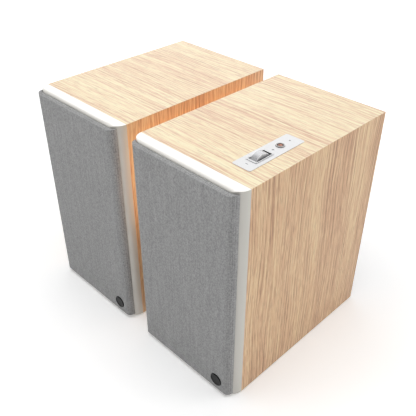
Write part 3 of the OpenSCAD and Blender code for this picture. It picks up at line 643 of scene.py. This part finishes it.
# name: colour, roughness, grain in features per metre, relief
MOULDED = {
    "black_panel": (srgb(34, 33, 32), 0.55, 1500.0, 0.09 * MM),
    "foot_rubber": (srgb(24, 24, 25), 0.8, 1800.0, 0.05 * MM),
    "basket_steel": (srgb(28, 29, 31), 0.42, 1300.0, 0.03 * MM),
    "butyl": (srgb(22, 22, 23), 0.48, 2400.0, 0.03 * MM),
    "ferrite": (srgb(66, 66, 70), 0.6, 1100.0, 0.06 * MM),
    "faceplate_plastic": (srgb(26, 26, 28), 0.45, 1700.0, 0.05 * MM),
    "port_plastic": (srgb(22, 22, 23), 0.5, 1500.0, 0.06 * MM),
    "frame_plastic": (srgb(36, 36, 36), 0.6, 1500.0, 0.05 * MM),
    "badge_black": (srgb(7, 7, 8), 0.4, 1200.0, 0.012 * MM),
    "wire_pvc": (srgb(170, 28, 24), 0.45, 1500.0, 0.02 * MM),
    "part_black": (srgb(30, 30, 31), 0.45, 1600.0, 0.04 * MM),
    "rocker_black": (srgb(46, 46, 48), 0.28, 1600.0, 0.01 * MM),
    "amp_metal": (srgb(33, 33, 34), 0.48, 1900.0, 0.08 * MM),
    "led_lens": (srgb(40, 42, 42), 0.5, 1500.0, 0.01 * MM),
    "clip_red": (srgb(176, 28, 24), 0.35, 1500.0, 0.02 * MM),
    "clip_black": (srgb(32, 32, 33), 0.35, 1500.0, 0.02 * MM),
    "mark_grey": (srgb(116, 116, 118), 0.5, 1500.0, 0.01 * MM)}
SPECIAL_SOCKETS = {
    "butyl": {"Sheen_Weight": 0.1},
    "ferrite": {"Metallic": 0.4},
    "badge_black": {"Specular_IOR_Level": 0.22}}

# nodes that both speakers have, each named after its side
PAIRED_NODES = {
    "front_baffle": "white_lacquer", "rear_panel": "black_panel", "feet": "foot_rubber",
    "woofer_basket": "basket_steel", "woofer_surround": "butyl", "woofer_spider": "spider_cloth",
    "woofer_voice_coil": "copper_wire", "woofer_motor": "ferrite",
    "tweeter_faceplate": "faceplate_plastic", "tweeter_dome": "silk", "tweeter_motor": "ferrite",
    "port_tube": "port_plastic", "grille_frame": "frame_plastic", "grille_badge": "badge_black",
    "wiring": "wire_pvc"}
SINGLE_NODES = {
    "active_driver_screws": "screw_steel", "passive_screws": "screw_steel",
    "amplifier_screws": "screw_steel", "control_plate": "plate_white",
    "volume_wheel": "wheel_aluminium", "power_button": "button_copper", "status_led": "led_lens",
    "transformer": "core_steel", "amplifier_plate": "amp_metal", "control_board": "circuit_board",
    "amplifier_board": "circuit_board", "crossover_board": "circuit_board",
    "volume_encoder": "part_black", "input_jacks": "part_black", "mains_inlet": "part_black",
    "outlet_housing": "part_black", "terminal_plate": "part_black", "power_rocker": "rocker_black",
    "outlet_clip_red": "clip_red", "outlet_clip_black": "clip_black",
    "terminal_clip_red": "clip_red", "terminal_clip_black": "clip_black"}


def make_materials():
    """Every material that isn't fitted to one speaker's own place, by name."""
    made = {name: moulded(name, *look, **SPECIAL_SOCKETS.get(name, {})) for name, look in MOULDED.items()}
    made["silk"] = woven("silk", srgb(66, 62, 62), 0.5 * MM, 0.06 * MM)
    made["spider_cloth"] = woven("spider_cloth", srgb(204, 160, 92), 0.8 * MM, 0.15 * MM)
    for make in (white_lacquer, wheel_aluminium, screw_steel, grille_fabric, copper_wire,
                 circuit_board, core_steel, plate_white, button_copper):
        made[make.__name__] = make()
    return made


def dress(node, material):
    """Gives a CAD node its material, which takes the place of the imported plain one."""
    node_object = NODES[node]
    node_object.data.materials.clear()
    node_object.data.materials.append(material)


def dress_nodes(materials):
    for side in SIDES:
        driver = centre_of(side + "_woofer_cone")
        dress(side + "_cabinet", oak(side))
        dress(side + "_woofer_cone", pressed_paper(side + "_paper_cone", srgb(78, 78, 80), driver, 0.0))
        dress(side + "_woofer_dust_cap", pressed_paper(side + "_cap_paper", srgb(60, 60, 62), driver, 0.3))
        for node, name in PAIRED_NODES.items():
            dress(side + "_" + node, materials[name])
    for node, name in SINGLE_NODES.items():
        dress(node, materials[name])


# ---------------------------------------------------------------- what the pieces are made with

def add_piece(name, made, material, body):
    """Turns a finished bmesh into a piece that rides on a body."""
    mesh = bpy.data.meshes.new(name)
    made.to_mesh(mesh)
    made.free()
    piece = bpy.data.objects.new(name, mesh)
    bpy.context.scene.collection.objects.link(piece)
    mesh.materials.append(material)
    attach(piece, body)
    return piece


def smooth_outward(made):
    bmesh.ops.recalc_face_normals(made, faces=made.faces)
    for face in made.faces:
        face.smooth = True


def arc_points(centre, radius, start, end, steps):
    """Points round part of a circle, as (first, second) pairs; angles in degrees."""
    points = []
    for i in range(steps + 1):
        angle = math.radians(start + (end - start) * i / steps)
        points.append((centre[0] + radius * math.cos(angle), centre[1] + radius * math.sin(angle)))
    return points


def evenly(start, end, steps):
    """The points between two ends, without the ends."""
    return [start + (end - start) * i / steps for i in range(1, steps)]


# ---------------------------------------------------------------- grille cloths

CLOTH_T = 0.6 * MM
CLOTH_CELL = 2.5 * MM
CLOTH_MERGE = 0.02 * MM
# radii of the grille's upright edges, and of its top and bottom edges
EDGE_R = 7.75 * MM
EDGE_STEPS = 10
LIP_R = 2.0 * MM
LIP_STEPS = 6
# radius of the baffle's upright edges, and the space that the cloth leaves round them
BAFFLE_R = 12.0 * MM
BAFFLE_GAP = 0.4 * MM


def wrapped_outline(start, end, front, back, radius, steps):
    """A cut through the cloth, as (across, depth): skirt, round edge, front, round edge, skirt."""
    first = [(start, back)] + arc_points((start + radius, front + radius), radius, 180, 270, steps)
    last = [(start + end - across, depth) for across, depth in reversed(first)]
    middle = evenly(start + radius, end - radius, round((end - start) / CLOTH_CELL))
    return first + [(across, front) for across in middle] + last


def skirt_end(x, baffle_low, baffle_high, back):
    """How far back the skirt reaches at x, over the baffle's round edges."""
    past = max(baffle_low.x + BAFFLE_R - x, x - baffle_high.x + BAFFLE_R, 0.0)
    reach = math.sqrt(max((BAFFLE_R + BAFFLE_GAP) ** 2 - past ** 2, 0.0))
    return min(max(baffle_low.y + BAFFLE_R - reach, baffle_low.y), back)


def grille_cloth(side, material):
    """Cloth stretched over the grille's frame and wrapped round its edges, in the CAD cloth's place."""
    low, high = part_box(side + "_grille_cloth")
    baffle_low, baffle_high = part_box(side + "_front_baffle")
    columns = wrapped_outline(low.x, high.x, low.y, high.y, EDGE_R, EDGE_STEPS)
    rows = wrapped_outline(low.z, high.z, low.y, baffle_low.y, LIP_R, LIP_STEPS)
    made = bmesh.new()
    grid = []
    for j, (z, row_y) in enumerate(rows):
        is_end = j in (0, len(rows) - 1)
        line = []
        for x, column_y in columns:
            y = skirt_end(x, baffle_low, baffle_high, high.y) if is_end else row_y
            line.append(made.verts.new((x, max(column_y, y), z)))
        grid.append(line)
    for lower, upper in zip(grid, grid[1:]):
        for i in range(len(columns) - 1):
            made.faces.new((lower[i], lower[i + 1], upper[i + 1], upper[i]))
    bmesh.ops.remove_doubles(made, verts=made.verts, dist=CLOTH_MERGE)
    smooth_outward(made)
    cloth = add_piece(side + "_cloth", made, material, side + "_grille")
    skin = cloth.modifiers.new("thickness", "SOLIDIFY")
    skin.thickness = CLOTH_T
    skin.offset = -1.0
    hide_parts(side + "_grille_cloth")


# ---------------------------------------------------------------- printed marks

MARK_T = 0.05 * MM
MARK_LONG = 2.8 * MM
MARK_WIDE = 0.7 * MM
# from the wheel's centre to each mark's centre
MARK_AWAY = 16.6 * MM
# how much thicker the second bar of a plus is, so that the two tops don't coincide
SECOND_BAR = 0.2
BAR_ROUND = 0.9
BAR_STEPS = 4


def add_bar(made, centre, size, thickness):
    """Adds a low bar with rounded ends, lying on the control plate, to a mesh being made."""
    half_x, half_y = size[0] / 2, size[1] / 2
    radius = min(half_x, half_y) * BAR_ROUND
    corners = []
    for sign_x, sign_y, start in ((1, 1, 0), (-1, 1, 90), (-1, -1, 180), (1, -1, 270)):
        middle = (centre[0] + sign_x * (half_x - radius), centre[1] + sign_y * (half_y - radius))
        corners += arc_points(middle, radius, start, start + 90, BAR_STEPS)
    bevel = thickness * 0.6
    rings = []
    for inset, height in ((0.0, 0.0), (0.0, bevel), (bevel, thickness)):
        scale_x, scale_y = 1 - inset / half_x, 1 - inset / half_y
        rings.append([made.verts.new((centre[0] + (x - centre[0]) * scale_x,
                                      centre[1] + (y - centre[1]) * scale_y,
                                      centre[2] + height)) for x, y in corners])
    count = len(corners)
    for lower, upper in zip(rings, rings[1:]):
        for i in range(count):
            made.faces.new((lower[i], lower[(i + 1) % count], upper[(i + 1) % count], upper[i]))
    made.faces.new(rings[-1])
    made.faces.new(list(reversed(rings[0])))


def control_marks(material):
    """Printed marks for turning the volume down and up, in front of the wheel and behind it."""
    x = centre_of("control_plate")[X]
    y = centre_of("volume_wheel")[Y]
    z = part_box("status_led")[1].z
    level = (MARK_LONG, MARK_WIDE)
    upright = (MARK_WIDE, MARK_LONG)
    for name, mark_y, bars in (("minus_mark", y - MARK_AWAY, (level,)),
                               ("plus_mark", y + MARK_AWAY, (level, upright))):
        made = bmesh.new()
        for i, size in enumerate(bars):
            add_bar(made, (x, mark_y, z), size, MARK_T * (1 + SECOND_BAR * i))
        mark = add_piece(name, made, material, "active_speaker")


# ---------------------------------------------------------------- phono rings

# name, distance of its socket's centre from the jacks' left side, colour
PHONO_RINGS = (
    ("phono_ring_white", 10 * MM, srgb(228, 226, 220)),
    ("phono_ring_red", 26 * MM, srgb(184, 26, 24)))
RING_INNER = 2.65 * MM
RING_OUTER = 3.35 * MM
RING_BEVEL = 0.15 * MM
# places along Y, measured from the sockets' mouths
RING_BACK = -6.9 * MM
RING_SHOULDER = -0.5 * MM
RING_FRONT = -0.3 * MM
RING_PROFILE = (
    (RING_INNER, RING_BACK), (RING_OUTER, RING_BACK), (RING_OUTER, RING_SHOULDER),
    (RING_OUTER - RING_BEVEL, RING_FRONT), (RING_INNER + RING_BEVEL, RING_FRONT),
    (RING_INNER, RING_SHOULDER))
RING_SEGMENTS = 64


def turned_ring(profile, centre):
    """A ring turned about an axis parallel to Y; the profile is a closed outline of (radius, y)."""
    made = bmesh.new()
    outlines = []
    for i in range(RING_SEGMENTS):
        angle = math.tau * i / RING_SEGMENTS
        outlines.append([made.verts.new((centre[0] + r * math.cos(angle), centre[1] + y,
                                         centre[2] + r * math.sin(angle))) for r, y in profile])
    count = len(profile)
    for i, outline in enumerate(outlines):
        following = outlines[(i + 1) % RING_SEGMENTS]
        for k in range(count):
            after = (k + 1) % count
            made.faces.new((outline[k], following[k], following[after], outline[after]))
    smooth_outward(made)
    return made


def phono_rings():
    """Coloured insulators between each phono socket's shell and its centre."""
    low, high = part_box("input_jacks")
    for name, from_left, colour in PHONO_RINGS:
        made = turned_ring(RING_PROFILE, (low.x + from_left, high.y, (low.z + high.z) / 2))
        material = moulded(name, colour, 0.35, 1500.0, 0.02 * MM)
        ring = add_piece(name, made, material, "active_speaker")


# ---------------------------------------------------------------- the scene

add_camera()
light_studio()
add_floor()
all_materials = make_materials()
dress_nodes(all_materials)
for speaker_side in SIDES:
    grille_cloth(speaker_side, all_materials["grille_fabric"])
control_marks(all_materials["mark_grey"])
phono_rings()
